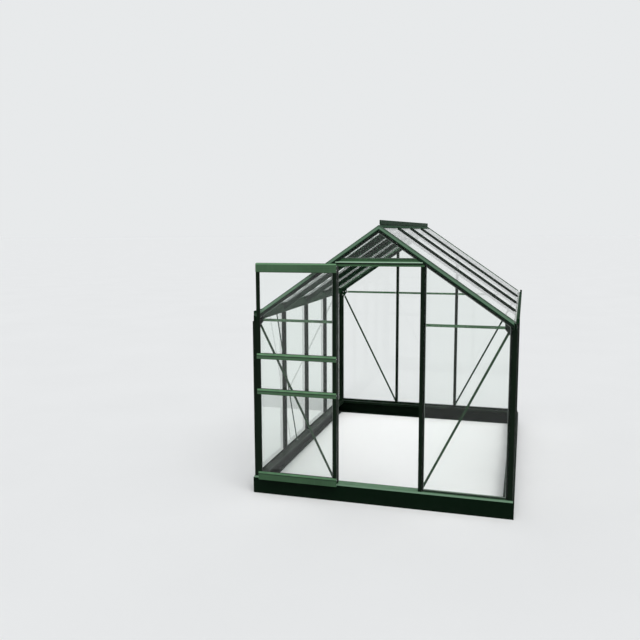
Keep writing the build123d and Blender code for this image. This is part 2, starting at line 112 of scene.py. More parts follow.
def sum_of(tree, operation, first, second=0.0):
    made = add_node(tree, "ShaderNodeMath", {0: first, 1: second}, operation=operation)
    return made.outputs[0]


def remap(tree, value, low, high, to_low=0.0, to_high=1.0, **settings):
    wanted = {
        "Value": value, "From Min": low, "From Max": high, "To Min": to_low, "To Max": to_high,
    }
    return add_node(tree, "ShaderNodeMapRange", wanted, **settings).outputs["Result"]


def mixed(tree, amount, first, second):
    made = add_node(tree, "ShaderNodeMix", data_type="RGBA")
    for socket, value in ((0, amount), (6, first), (7, second)):
        feed(tree, made.inputs[socket], value)
    return made.outputs[2]


# %% [markdown]
# An effect that several finishes share is a node group with named sockets. It is built once and
# placed in each material with its own values, as a shop keeps one recipe for dust and uses it on
# paint, plastic and glass alike. Patterns follow Object coordinates, so they stay on the piece.

# %% Group helpers
NUMBER = "NodeSocketFloat"
COLOUR = "NodeSocketColor"


def object_place(tree):
    """Object coordinates, taken apart into X, Y and Z."""
    place = add_node(tree, "ShaderNodeTexCoord").outputs["Object"]
    return add_node(tree, "ShaderNodeSeparateXYZ", {0: place}).outputs


def noise(tree, scale, detail, stretch=(1, 1, 1)):
    """Noise on Object coordinates, stretched along each axis."""
    place = add_node(tree, "ShaderNodeTexCoord").outputs["Object"]
    mapping = add_node(tree, "ShaderNodeMapping", {"Vector": place, "Scale": stretch})
    wanted = {"Vector": mapping.outputs["Vector"], "Scale": scale, "Detail": detail}
    return add_node(tree, "ShaderNodeTexNoise", wanted).outputs["Fac"]


def new_group(name, inputs, outputs):
    tree = bpy.data.node_groups.new(name, "ShaderNodeTree")
    for label, kind, value in inputs:
        socket = tree.interface.new_socket(name=label, in_out="INPUT", socket_type=kind)
        socket.default_value = value
    for label, kind in outputs:
        tree.interface.new_socket(name=label, in_out="OUTPUT", socket_type=kind)
    entry = tree.nodes.new("NodeGroupInput")
    result = tree.nodes.new("NodeGroupOutput")
    return tree, entry.outputs, result.inputs


def use_group(tree, group, values):
    made = tree.nodes.new("ShaderNodeGroup")
    made.node_tree = group
    for socket, value in values.items():
        feed(tree, made.inputs[socket], value)
    return made.outputs


# %% [markdown]
# Powder coat is sprayed as dust and baked, so it is never quite even: the tone drifts a little
# over a long bar, and the skin has a very fine orange peel. Noise on Object coordinates gives
# both, at the size of a hand for the tone and at about a millimetre for the peel, and once more
# between those sizes for the gloss.

# %% Powder coat group
coat_group, given, result = new_group(
    "powder_coat",
    [("Colour", COLOUR, (0.05, 0.1, 0.06, 1)), ("Drift", NUMBER, 0.15)],
    [("Colour", COLOUR), ("Peel", NUMBER), ("Gloss Drift", NUMBER)],
)
broad_tone = noise(coat_group, scale=4.0, detail=4.0)
darkest = sum_of(coat_group, "SUBTRACT", 1.0, given["Drift"])
lightest = sum_of(coat_group, "ADD", 1.0, given["Drift"])
tone = remap(coat_group, broad_tone, 0.32, 0.68, darkest, lightest)
toned = add_node(coat_group, "ShaderNodeHueSaturation", {"Value": tone, "Color": given["Colour"]})
feed(coat_group, result["Colour"], toned.outputs["Color"])
feed(coat_group, result["Peel"], noise(coat_group, scale=650.0, detail=1.0))
feed(coat_group, result["Gloss Drift"], noise(coat_group, scale=23.0, detail=3.0))
print("powder coat group has", len(coat_group.nodes), "nodes")

# %% [markdown]
# Weather leaves three marks on a greenhouse: dust that settles where a face looks up, splashes
# of soil near the ground, and faint streaks where rain runs down. Where a face looks up, the film
# is also a painted sheen of sky light. Each is a mask, and the three are added and laid over the
# paint as one pale film.

# %% Weather and sheen group
splash_height = 0.16
weather_and_sheen_group, given, result = new_group(
    "weather",
    [("Colour", COLOUR, (0.05, 0.1, 0.06, 1)), ("Film", COLOUR, (0.20, 0.20, 0.165, 1)),
     ("Amount", NUMBER, 0.4), ("Dust And Sheen", NUMBER, 0.35)],
    [("Colour", COLOUR), ("Mask", NUMBER)],
)
facing = add_node(weather_and_sheen_group, "ShaderNodeNewGeometry").outputs["Normal"]
facing_up = add_node(weather_and_sheen_group, "ShaderNodeSeparateXYZ", {0: facing}).outputs["Z"]
# Faces that look up get dust and a painted sheen of sky light, as one paler film.
dust_and_sheen = remap(weather_and_sheen_group, facing_up, 0.05, 0.4, 0.0, given["Dust And Sheen"])
height = object_place(weather_and_sheen_group)["Z"]
splashed = remap(weather_and_sheen_group, height, 0.0, splash_height, 0.35, 0.0)
uneven = noise(weather_and_sheen_group, scale=17.0, detail=6.0)
patches = remap(weather_and_sheen_group, uneven, 0.35, 0.72, 0.45, 1.0)
runs = noise(weather_and_sheen_group, scale=1.0, detail=3.0, stretch=(48, 48, 2.5))
streaks = remap(weather_and_sheen_group, runs, 0.52, 0.8, 0.0, 0.12)
marks = sum_of(weather_and_sheen_group, "ADD", dust_and_sheen, splashed)
marks = sum_of(weather_and_sheen_group, "MULTIPLY", marks, patches)
marks = sum_of(weather_and_sheen_group, "ADD", marks, streaks)
mask = sum_of(weather_and_sheen_group, "MULTIPLY", marks, given["Amount"])
feed(weather_and_sheen_group, result["Mask"], mask)
feed(weather_and_sheen_group, result["Colour"], mixed(weather_and_sheen_group, mask, given["Colour"], given["Film"]))
print("weather group has", len(weather_and_sheen_group.nodes), "nodes")

# %% [markdown]
# Paint is thinnest on a corner, and a corner is what gets rubbed. The paler edge is also a painted
# highlight along it. The Bevel node gives the normal that a rounded edge would have. Where that
# differs from the true normal there is an edge, and noise breaks the line up, so that the wear and
# the highlight come and go along the bar.

# %% Edge wear and highlight group
wear_and_highlight_group, given, result = new_group(
    "edge_wear_and_highlight", [("Radius", NUMBER, 0.0015), ("Amount", NUMBER, 0.5)], [("Mask", NUMBER)]
)
rounded = add_node(wear_and_highlight_group, "ShaderNodeBevel", {"Radius": given["Radius"]}, samples=3)
true_normal = add_node(wear_and_highlight_group, "ShaderNodeNewGeometry").outputs["Normal"]
both_normals = {0: rounded.outputs[0], 1: true_normal}
likeness = add_node(wear_and_highlight_group, "ShaderNodeVectorMath", both_normals, operation="DOT_PRODUCT")
edge = remap(wear_and_highlight_group, likeness.outputs["Value"], 0.995, 0.80)
broken = remap(wear_and_highlight_group, noise(wear_and_highlight_group, scale=60.0, detail=4.0), 0.38, 0.62)
worn_and_lit = sum_of(wear_and_highlight_group, "MULTIPLY", edge, broken)
feed(wear_and_highlight_group, result["Mask"], sum_of(wear_and_highlight_group, "MULTIPLY", worn_and_lit, given["Amount"]))
print("edge wear group has", len(wear_and_highlight_group.nodes), "nodes")

# %% [markdown]
# The rails of such a frame are extruded with shallow flutes along their length, which catch the
# sky as fine lines. They run level, so one saw of the height is enough: the height is divided by
# the pitch, and what is left over is turned into a narrow groove.

# %% Flute group
flute_group, given, result = new_group(
    "flutes", [("Pitch", NUMBER, 0.012), ("Width", NUMBER, 0.16)], [("Height", NUMBER)]
)
height = object_place(flute_group)["Z"]
turns = sum_of(flute_group, "FRACT", sum_of(flute_group, "DIVIDE", height, given["Pitch"]))
from_groove = sum_of(flute_group, "ABSOLUTE", sum_of(flute_group, "SUBTRACT", turns, 0.5))
flank = remap(flute_group, from_groove, 0.0, given["Width"], interpolation_type="SMOOTHSTEP")
feed(flute_group, result["Height"], flank)
print("flute group has", len(flute_group.nodes), "nodes")

# %% [markdown]
# Some members have a band along them in a tone of its own: painted light on the upper half of each
# gable rafter, a painted highlight on the bead of the head bar, painted shade in a groove. The band
# is found from the distance across the member, a sum of sideways distance and height, and its two
# edges are soft.

# %% Band group
soft_edge = 0.003
band_group, given, result = new_group(
    "pale_band",
    [("Across", NUMBER, 0.0), ("Up", NUMBER, 1.0), ("Low", NUMBER, 0.0), ("High", NUMBER, 0.01)],
    [("Mask", NUMBER)],
)
apart = object_place(band_group)
sideways = sum_of(band_group, "ABSOLUTE", apart["X"])
sideways = sum_of(band_group, "MULTIPLY", sideways, given["Across"])
upward = sum_of(band_group, "MULTIPLY", apart["Z"], given["Up"])
distance = sum_of(band_group, "ADD", sideways, upward)
above_low = sum_of(band_group, "SUBTRACT", distance, given["Low"])
below_high = sum_of(band_group, "SUBTRACT", given["High"], distance)
inside = sum_of(band_group, "MINIMUM", above_low, below_high)
feed(band_group, result["Mask"], remap(band_group, inside, 0.0, soft_edge))
print("band group has", len(band_group.nodes), "nodes")

# %% [markdown]
# A new material starts with one Principled shader. Worn edges with their painted highlight, and the
# film of dust and painted sheen, are paler shades of a paint's own colour. Stripes of painted light
# and painted shade are laid over it one after the other.

# %% Paint helpers
def start_material(name):
    material = bpy.data.materials.new(name)
    material.use_nodes = True
    return material, material.node_tree, material.node_tree.nodes["Principled BSDF"]


def paler(colour, gain, lift):
    return (*[min(1.0, gain * value + lift) for value in colour], 1)


def striped(tree, colour, stripes):
    """Lay painted light and shade as stripes, each with its limits, colour and strength."""
    for limits, stripe_colour, strength in stripes:
        mask = use_group(tree, band_group, limits)["Mask"]
        colour = mixed(tree, sum_of(tree, "MULTIPLY", mask, strength), colour, stripe_colour)
    return colour


# %% [markdown]
# All painted metal shares one recipe with its own values: coat, weather with its painted sheen,
# edge wear with its painted highlight, and flutes feed the colour, the roughness and the bump of a
# Principled shader. Bands lie under the film of dust and painted sheen, and lines lie over it.

# %% Painted metal
coat_drift, wear_radius, gloss_swing, film_dulls = 0.16, 0.0012, 0.06, 0.5
flute_depth, peel_depth, peel_strength = 0.0012, 0.0004, 0.12


def painted_metal(name, colour, roughness, dust, wear_and_highlight, shine,
                  dust_and_sheen=0.35, flutes=0.0, bands=(), lines=()):
    material, tree, shader = start_material(name)
    coat = use_group(tree, coat_group, {"Colour": (*colour, 1), "Drift": coat_drift})
    worn_and_lit_edges = use_group(tree, wear_and_highlight_group, {"Radius": wear_radius, "Amount": wear_and_highlight})
    # Edges are paler: worn, thin paint, and a painted highlight along each edge.
    edged = mixed(tree, worn_and_lit_edges["Mask"], coat["Colour"], paler(colour, 2.6, 0.03))
    weather = use_group(tree, weather_and_sheen_group, {
        "Colour": striped(tree, edged, bands), "Film": paler(colour, 2.2, 0.04),
        "Amount": dust, "Dust And Sheen": dust_and_sheen,
    })
    feed(tree, shader.inputs["Base Color"], striped(tree, weather["Colour"], lines))
    shader.inputs["Specular IOR Level"].default_value = shine
    duller, glossier = roughness + gloss_swing, roughness - gloss_swing
    satin = remap(tree, coat["Gloss Drift"], 0.3, 0.7, glossier, duller)
    under_film = sum_of(tree, "MULTIPLY", weather["Mask"], film_dulls)
    feed(tree, shader.inputs["Roughness"], sum_of(tree, "ADD", satin, under_film))
    grooves = use_group(tree, flute_group, {})
    groove_bump = add_node(
        tree, "ShaderNodeBump",
        {"Strength": flutes, "Distance": flute_depth, "Height": grooves["Height"]},
    )
    peel_bump = add_node(tree, "ShaderNodeBump", {
        "Strength": peel_strength, "Distance": peel_depth, "Height": coat["Peel"],
        "Normal": groove_bump.outputs["Normal"],
    })
    feed(tree, shader.inputs["Normal"], peel_bump.outputs["Normal"])
    return material


print("groups that finishes share:", [group.name for group in bpy.data.node_groups])

# %% [markdown]
# The stripes are placed by the boxes of the nodes that carry them. The upper half of the rafters
# and the lip of the front sill carry painted light, as paint that faces the open sky. The bead of
# the head bar carries a painted highlight, with painted shade under it and on top of the track
# below. Painted shade lies in the groove under the bead of each door rail.

# %% Bands and lines
# The pale green is painted light, the bright green a painted highlight, the darkest green painted
# shade.
pale_green = (0.24, 0.41, 0.27, 1)
bright_green = (0.46, 0.66, 0.49, 1)
painted_shade_green = (0.006, 0.018, 0.009, 1)
mid_rail, groove_below_top, groove_half, shade_half = 0.040, 0.0165, 0.005, 0.006
below_seat, above_seat = 0.0165, 0.005

rafter_band = ({"Across": slope_across, "Up": slope_up, "Low": slope_seat - below_seat,
                "High": slope_seat + above_seat}, pale_green, 0.72)
sill_upstand = 0.015
sill_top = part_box("sill_front")[1][2] - sill_upstand
lip_band = ({"Low": sill_top - 0.016, "High": sill_top + 0.0002}, pale_green, 0.9)
head_bar_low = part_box("head_bar")[0][2]
bead_highlight = ({"Low": head_bar_low + 0.022, "High": head_bar_low + 0.034}, bright_green, 0.9)
bead_shade = ({"Low": head_bar_low + 0.0135, "High": head_bar_low + 0.0235}, painted_shade_green, 0.95)


def level_line(middle, half, strength):
    return ({"Low": middle - half, "High": middle + half}, painted_shade_green, strength)


mid_low, mid_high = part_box("door_mid_rails")
foot_rail_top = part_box("door_bottom_rail")[1][2]
rail_tops = (mid_low[2] + mid_rail, mid_high[2], foot_rail_top)
# Painted shade in the groove under the bead of each door rail.
rail_groove_shades = [level_line(top - groove_below_top, groove_half, 0.9) for top in rail_tops]
track_shade = level_line(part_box("door_track")[1][2], shade_half, 0.95)
print("grooves of the door rails at", [round(top - groove_below_top, 4) for top in rail_tops])

# %% [markdown]
# Level members look lighter than the uprights on the real frame, because their faces catch the
# sky, so they get more gloss and a lighter tone: the paints below are lit and shaded copies of one
# green, with painted light on the level members and painted shade on the uprights, which stay
# nearly black green. The steel base is darker still. Each paint below is the recipe with the values
# of one such place.

# %% Paints
# Lit and shaded copies of one green: painted light and painted shade.
rail_colour = (0.060, 0.140, 0.066)
rail_paint = {"roughness": 0.36, "dust": 0.9, "wear_and_highlight": 0.6, "dust_and_sheen": 2.2, "flutes": 0.8}
rail_green = painted_metal("rail_green", rail_colour, shine=0.35, **rail_paint)
track_green = painted_metal(
    "track_green", rail_colour, shine=0.15, lines=[track_shade], **rail_paint)
mid_green = painted_metal(
    "mid_green", rail_colour, shine=0.35, lines=rail_groove_shades[:2], **rail_paint)
foot_green = painted_metal(
    "foot_green", (0.040, 0.104, 0.046), roughness=0.38, dust=0.9, wear_and_highlight=0.6, shine=0.30,
    dust_and_sheen=2.2, flutes=0.8, lines=rail_groove_shades[2:])
sill_green = painted_metal(
    "sill_green", (0.056, 0.130, 0.066), roughness=0.36, dust=0.7, wear_and_highlight=0.6, shine=0.35,
    dust_and_sheen=0.5, bands=[lip_band])
head_green = painted_metal(
    "head_green", (0.056, 0.134, 0.062), roughness=0.36, dust=0.9, wear_and_highlight=0.6, shine=0.15,
    dust_and_sheen=1.0, flutes=0.8, lines=[bead_highlight, bead_shade])
rafter_green = painted_metal(
    "rafter_green", (0.010, 0.034, 0.016), roughness=0.42, dust=0.6, wear_and_highlight=0.4, shine=0.12,
    dust_and_sheen=0.5, bands=[rafter_band])
frame_green = painted_metal(
    "frame_green", (0.014, 0.048, 0.018), roughness=0.42, dust=0.5, wear_and_highlight=0.5, shine=0.10,
    dust_and_sheen=0.5)
ridge_green = painted_metal(
    "ridge_green", (0.010, 0.038, 0.016), roughness=0.55, dust=0.5, wear_and_highlight=0.5, shine=0.03,
    dust_and_sheen=0.6)
shaded_green = painted_metal(
    "shaded_green", (0.004, 0.0115, 0.005), roughness=0.42, dust=0.3, wear_and_highlight=0.5, shine=0.08)
bar_green = painted_metal(
    "bar_green", (0.014, 0.036, 0.020), roughness=0.55, dust=0.9, wear_and_highlight=0.4, shine=0.04,
    dust_and_sheen=0.9)
base_paint = painted_metal(
    "base_paint", (0.0015, 0.0085, 0.0030), roughness=0.46, dust=0.22, wear_and_highlight=0.5, shine=0.04)
print("the base paint has", len(base_paint.node_tree.nodes), "nodes")

# %% [markdown]
# The panes are clear float glass, three millimetres thick, with a hint of green. Rain leaves a
# film that is thicker low down, which dulls the glass a little. The index is set below that of
# window glass, because panes in an all pale room would mirror more than they do out of doors.
# Real glass lets daylight through to the floor, while a path tracer treats its shadow as solid,
# so Alpha is lowered for shadow rays alone and the panes cast only a faint shade.

# %% Glass
clear_tint = (0.965, 0.985, 0.972, 1)
film_tint = (0.80, 0.84, 0.79, 1)
glass_shade, glass_index, filmed_roughness = 0.10, 1.3, 0.05

pane_glass, tree, shader = start_material("pane_glass")
film = {"Colour": clear_tint, "Film": film_tint, "Amount": 0.30}
weather = use_group(tree, weather_and_sheen_group, film)
feed(tree, shader.inputs["Base Color"], weather["Colour"])
dulled = remap(tree, weather["Mask"], 0.0, 0.3, 0.0, filmed_roughness)
feed(tree, shader.inputs["Roughness"], dulled)
shader.inputs["Transmission Weight"].default_value = 1.0
shader.inputs["IOR"].default_value = glass_index
light_path = add_node(tree, "ShaderNodeLightPath")
see_through = sum_of(tree, "MULTIPLY", light_path.outputs["Is Shadow Ray"], 1.0 - glass_shade)
feed(tree, shader.inputs["Alpha"], sum_of(tree, "SUBTRACT", 1.0, see_through))
waves = noise(tree, scale=3.0, detail=1.0)
ripple = add_node(tree, "ShaderNodeBump", {"Strength": 0.05, "Distance": 0.001, "Height": waves})
feed(tree, shader.inputs["Normal"], ripple.outputs["Normal"])
print("glass has", len(tree.nodes), "nodes")

# %% [markdown]
# Small pieces have plainer finishes: black rubber seals, moulded nylon, zinc plated bolts and the
# pale plastic strips that hold the panes. Each still has a grain of its own, a little dust and a
# roughness that changes, because a perfectly even surface looks like no material at all.

# %% Small finishes
def small_finish(name, colour, roughness, grain, metal=0.0, dust=0.3):
    material, tree, shader = start_material(name)
    coat = use_group(tree, coat_group, {"Colour": (*colour, 1), "Drift": 0.22})
    weather = use_group(tree, weather_and_sheen_group, {"Colour": coat["Colour"], "Amount": dust})
    feed(tree, shader.inputs["Base Color"], weather["Colour"])
    spread = remap(tree, coat["Gloss Drift"], 0.3, 0.7, roughness - 0.1, roughness + 0.1)
    feed(tree, shader.inputs["Roughness"], spread)
    shader.inputs["Metallic"].default_value = metal
    grains = noise(tree, scale=grain, detail=3.0)
    bumped = {"Strength": 0.2, "Distance": 0.0003, "Height": grains}
    bump = add_node(tree, "ShaderNodeBump", bumped)
    feed(tree, shader.inputs["Normal"], bump.outputs["Normal"])
    return material


seal_rubber = small_finish("seal_rubber", (0.013, 0.014, 0.013), 0.55, 900.0)
black_nylon = small_finish("black_nylon", (0.018, 0.018, 0.019), 0.38, 500.0)
zinc_bolt = small_finish("zinc_bolt", (0.55, 0.56, 0.55), 0.38, 300.0, metal=1.0)
pale_strip = small_finish("pale_strip", (0.66, 0.70, 0.66), 0.32, 250.0, dust=0.2)
grey_bead = small_finish("grey_bead", (0.15, 0.19, 0.16), 0.35, 400.0)
print("finishes so far:", len(bpy.data.materials))

# %% [markdown]
# Each node of the frame gets the finish that its place on the real greenhouse shows. Door rails,
# track, head bar, gable rails and front sill take the lit greens, with painted light, the rafters
# the banded one, and the front braces one between lit and dark. Ridge, gutters, vent and all other
# braces take the dark ridge green, with painted shade, and the roof bars their own. What isn't
# listed goes by
# its slot: posts, door stiles, wall bars, plates and the other sills take the shaded green, with
# painted shade.

# %% Finishes of the frame
finish_of_node = {
    rail_green: ["door_head_rail", "front_rails", "back_rails"],
    track_green: ["door_track"],
    mid_green: ["door_mid_rails"],
    foot_green: ["door_bottom_rail"],
    sill_green: ["sill_front"],
    head_green: ["head_bar"],
    rafter_green: ["rafter_front_left", "rafter_front_right",
                   "rafter_back_left", "rafter_back_right"],
    frame_green: ["front_braces"],
    ridge_green: ["ridge_bar", "eaves_beam_left", "eaves_beam_right", "vent_frame", "vent_sill",
                  "side_brace_left", "side_brace_right", "back_braces"],
    bar_green: ["roof_bars_right", "roof_bars_left"],
}
finish_of_slot = {
    "green_frame": shaded_green, "base_steel": base_paint,
    "black_plastic": black_nylon, "glass": pane_glass,
}
slot_of_node = {row["node"]: row["material_slot"] for row in frame["record"]["subparts"]}
for name, node in nodes.items():
    own = [finish for finish, members in finish_of_node.items() if name in members]
    finish = own[0] if own else finish_of_slot[slot_of_node[name]]
    for slot in node.material_slots:
        slot.material = finish
print("dressed nodes:", len(nodes))

# %% [markdown]
# The fine pieces are modelled as by hand: a primitive is added at its size, shaped in edit mode,
# and copied where it repeats. Place, turn and scale are applied at once, so that every piece ends
# up at the origin with its place in its mesh.

# %% Primitives
def deselect():
    bpy.ops.object.select_all(action="DESELECT")


def applied(name):
    """Apply place, turn and scale of the primitive just added, and name it."""
    bpy.ops.object.transform_apply(location=True, rotation=True, scale=True)
    piece = bpy.context.object
    piece.name = name
    return piece


def add_block(name, low, high):
    """A cube primitive stretched between two corners."""
    deselect()
    size = [b - a for a, b in zip(low, high)]
    middle = [(a + b) / 2 for a, b in zip(low, high)]
    bpy.ops.mesh.primitive_cube_add(size=1, location=middle, scale=size)
    return applied(name)


def add_disc(name, radius, low, high, sides):
    """A cylinder primitive that stands on its own axis."""
    deselect()
    bpy.ops.mesh.primitive_cylinder_add(
        vertices=sides, radius=radius, depth=high - low, location=(0, 0, (low + high) / 2)
    )
    return applied(name)


# %% [markdown]
# Operators act on whatever is selected, so everything is deselected first. Faces and edges are then
# picked in code, by a rule on their place or their normal.

# %% Picking faces and edges
# Two places that are nearer than this count as the same
hair = 0.00001


def leave_edit():
    bpy.ops.object.mode_set(mode="OBJECT")


def clear_picks(piece, kind):
    deselect()
    bpy.context.view_layer.objects.active = piece
    piece.select_set(True)
    bpy.ops.object.mode_set(mode="EDIT")
    bpy.ops.mesh.select_mode(type=kind)
    bpy.ops.mesh.select_all(action="DESELECT")
    leave_edit()


def pick_faces(piece, rule):
    """Go into edit mode with the faces that pass a rule on centre and normal."""
    clear_picks(piece, "FACE")
    for face in piece.data.polygons:
        face.select = rule(face.center, face.normal)
    bpy.ops.object.mode_set(mode="EDIT")


def pick_edges(piece, rule):
    """Go into edit mode with the edges that pass a rule on their two ends."""
    clear_picks(piece, "EDGE")
    points = piece.data.vertices
    for edge in piece.data.edges:
        edge.select = rule(*[points[index].co for index in edge.vertices])
    bpy.ops.object.mode_set(mode="EDIT")


# %% [markdown]
# Most fine pieces need the same few steps: edges are bevelled round, and a face is set in and
# pushed up or down. Where a step can turn faces round, doubles are merged and normals made anew.

# %% Shaping
def bevel_edges(piece, rule, width, segments):
    pick_edges(piece, rule)
    bpy.ops.mesh.bevel(offset=width, segments=segments, affect="EDGES")
    leave_edit()


def inset_faces(piece, rule, steps):
    """Inset the picked faces step by step, each so far in and so far up or down."""
    pick_faces(piece, rule)
    for inward, outward in steps:
        bpy.ops.mesh.inset(thickness=inward, depth=outward)
    leave_edit()


def mend_normals(piece):
    clear_picks(piece, "FACE")
    bpy.ops.object.mode_set(mode="EDIT")
    bpy.ops.mesh.select_all(action="SELECT")
    bpy.ops.mesh.remove_doubles(threshold=hair / 2)
    bpy.ops.mesh.normals_make_consistent(inside=False)
    leave_edit()


# %% [markdown]
# What repeats is modelled once, copied to its places with a mesh of its own each time, and joined.
# The last step is the same for all: the piece gets its material and soft shading, and rides on the
# body that carries it.

# %% Copies and finish
def joined(pieces, name):
    """Join pieces into the first of them, and name it."""
    deselect()
    for piece in pieces:
        piece.select_set(True)
    bpy.context.view_layer.objects.active = pieces[0]
    if len(pieces) > 1:
        bpy.ops.object.join()
    pieces[0].name = name
    pieces[0].data.name = name
    return pieces[0]


def copies_of(model, name, places):
    """Copy a model to each place, join the copies and drop the model."""
    copies = []
    for place in places:
        copied = model.copy()
        copied.data = model.data.copy()
        copied.data.transform(place)
        bpy.context.scene.collection.objects.link(copied)
        copies.append(copied)
    bpy.data.objects.remove(model, do_unlink=True)
    return joined(copies, name)


def finish_piece(piece, finish, body, smooth=35):
    """Give a finished piece its material, soft shading and body."""
    piece.data.materials.clear()
    piece.data.materials.append(finish)
    deselect()
    piece.select_set(True)
    bpy.context.view_layer.objects.active = piece
    bpy.ops.object.shade_smooth_by_angle(angle=math.radians(smooth))
    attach(piece, body)
    print(piece.name, "has", len(piece.data.polygons), "faces")


# %% [markdown]
# Each wall and each slope gets a frame of its own, so that a seal or a bolt is placed as a fitter
# would place it: so far along the wall, so far in from its face, and so high. The sizes repeat
# those of the aluminium sections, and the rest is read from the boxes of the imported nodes.

# %% Frames of the walls and the slopes
glass, bar_half_cap, roof_cap_top = 0.003, 0.009, 0.013
glass_inset, wall_thickness, bar_depth = 0.012, 0.003, 0.028
side_bay, door_post_middle, rafter_web = 0.620, 0.310, 0.038

back_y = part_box("base_back")[1][1]
middle_y = (front_y + back_y) / 2
half_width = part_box("sill_right")[1][0]
wall_bar_foot = sill_top + sill_upstand
slope_length = seat_x / math.cos(pitch)
side_bars = [-side_bay, 0.0, side_bay]


def own_frame(origin, along, inward):
    along, inward = Vector(along), Vector(inward)
    made = Matrix((along, inward, along.cross(inward))).transposed().to_4x4()
    made.translation = origin
    return made


FRONT = own_frame((0, front_y, 0), (1, 0, 0), (0, 1, 0))
BACK = own_frame((0, back_y, 0), (-1, 0, 0), (0, -1, 0))
RIGHT = own_frame((half_width, middle_y, 0), (0, 1, 0), (-1, 0, 0))
LEFT = own_frame((-half_width, middle_y, 0), (0, -1, 0), (1, 0, 0))
down_right, down_left = (slope_up, 0, -slope_across), (-slope_up, 0, -slope_across)
ROOF_RIGHT = own_frame((0, middle_y, apex_z), down_right, (0, 1, 0))
ROOF_LEFT = own_frame((0, middle_y, apex_z), down_left, (0, -1, 0))
# How a strip that is modelled lying along X turns to stand on a wall
STANDING = own_frame((0, 0, 0), (0, 0, 1), (-1, 0, 0))


def at(along, inward, up):
    return Matrix.Translation((along, inward, up))


def gable_edge(x, inset):
    """Height of the line that runs below the glass seat of a gable."""
    return apex_z - abs(x) * math.tan(pitch) - inset / math.cos(pitch)


print("sill top", round(sill_top, 4), "apex", round(apex_z, 4), "slope", round(slope_length, 4))

# %% [markdown]
# The simplest fine piece is a strip: the rubber gasket between a pane and the cap of its bar. A
# block is stretched to its length, its two long upper edges are picked and bevelled round, and it
# is then copied to both sides of every bar. The roof comes first.

# %% Roof gaskets
def strip_model(length, width, thickness, crown=0.35):
    model = add_block("strip", (0, -width / 2, 0), (length, width / 2, thickness))
    top = thickness - hair
    bevel_edges(
        model, lambda a, b: a.z > top and b.z > top and abs(a.x - b.x) > 0.5 * length,
        width=crown * min(width, thickness), segments=3)
    return model


gasket_width, gasket_height, roof_gasket_height = 0.0068, 0.0024, 0.0048
gasket_start, gasket_overhang, rib_half = 0.026, 0.008, 0.0033
beside_rib = rib_half + gasket_width / 2
gasket_length = slope_length + gasket_overhang - gasket_start


def add_gaskets(name, places, length, thickness):
    model = strip_model(length, gasket_width, thickness)
    gaskets = copies_of(model, name, places)
    finish_piece(gaskets, seal_rubber, "greenhouse")


for side, roof in (("right", ROOF_RIGHT), ("left", ROOF_LEFT)):
    places = [roof @ at(gasket_start, bar + turn * beside_rib, glass)
              for bar in side_bars for turn in (-1, 1)]
    add_gaskets("roof_gaskets_" + side, places, gasket_length, roof_gasket_height)

# %% [markdown]
# In the photograph a pale line runs along the foot of every roof pane, over the gutter: it is the
# plastic strip that folds over the edge of the glass. It starts as a block, and its inner face is
# inset and pushed in to make the slot for the pane.

# %% Roof foot strips
def foot_strip(length, reach, wrap):
    """Channel that folds over the lower edge of a pane, open towards the ridge."""
    half = glass / 2 + wrap
    model = add_block("foot", (-reach, 0, -half), (wrap, length, half))
    pick_faces(model, lambda centre, normal: normal.x < -0.9)
    bpy.ops.mesh.inset(thickness=wrap, depth=0)
    bpy.ops.mesh.extrude_region_move(TRANSFORM_OT_translate={"value": (reach, 0, 0)})
    leave_edit()
    bevel_edges(
        model, lambda a, b: min(a.x, b.x) > wrap - hair and abs(a.y - b.y) > 0.5 * length,
        width=0.0006, segments=2)
    mend_normals(model)
    return model


foot_reach, foot_wrap, glass_overhang = 0.009, 0.0012, 0.012
end_gap, bar_gap = 0.032, 0.006
pane_end = slope_length + glass_overhang
bay_starts = [-2 * side_bay + end_gap] + [bar + bar_gap for bar in side_bars]
end_length, middle_length = side_bay - end_gap - bar_gap, side_bay - 2 * bar_gap
bay_lengths = [end_length, middle_length, middle_length, end_length]
for side, roof in (("right", ROOF_RIGHT), ("left", ROOF_LEFT)):
    strips = []
    for start, length in zip(bay_starts, bay_lengths):
        model = foot_strip(length, foot_reach, foot_wrap)
        strips.append(copies_of(model, "foot", [roof @ at(pane_end, start, glass / 2)]))
    strips = joined(strips, "roof_foot_strips_" + side)
    finish_piece(strips, pale_strip, "greenhouse", smooth=60)

# %% [markdown]
# The wall panes are pressed against their bars in the same way, with a black gasket on both sides
# of each rib. The same strip is stood up on its end, once for every bar of the long walls and of
# the rear wall.

# %% Wall gaskets
gasket_face = glass_inset - glass
rear_bars = (-door_post_middle, door_post_middle)
rear_top = gable_edge(door_post_middle + bar_half_cap, rafter_web)
gasket_rows = (
    ("wall_gaskets_right", RIGHT, side_bars, beam_bottom),
    ("wall_gaskets_left", LEFT, side_bars, beam_bottom),
    ("rear_gaskets", BACK, rear_bars, rear_top),
)
for name, wall, bars, top in gasket_rows:
    places = [wall @ at(bar + turn * beside_rib, gasket_face, wall_bar_foot) @ STANDING
              for bar in bars for turn in (-1, 1)]
    add_gaskets(name, places, top - wall_bar_foot, gasket_height)

# %% [markdown]
# Around the daylight opening of each gable pane runs a slim grey bead, which shows in the
# photograph as a thin line under the rafter and down the corner post. It is modelled like a
# picture frame: a plane is cut along the slope of the roof, inset, its middle is deleted, and the
# ring that is left is extruded towards the weather and bevelled.

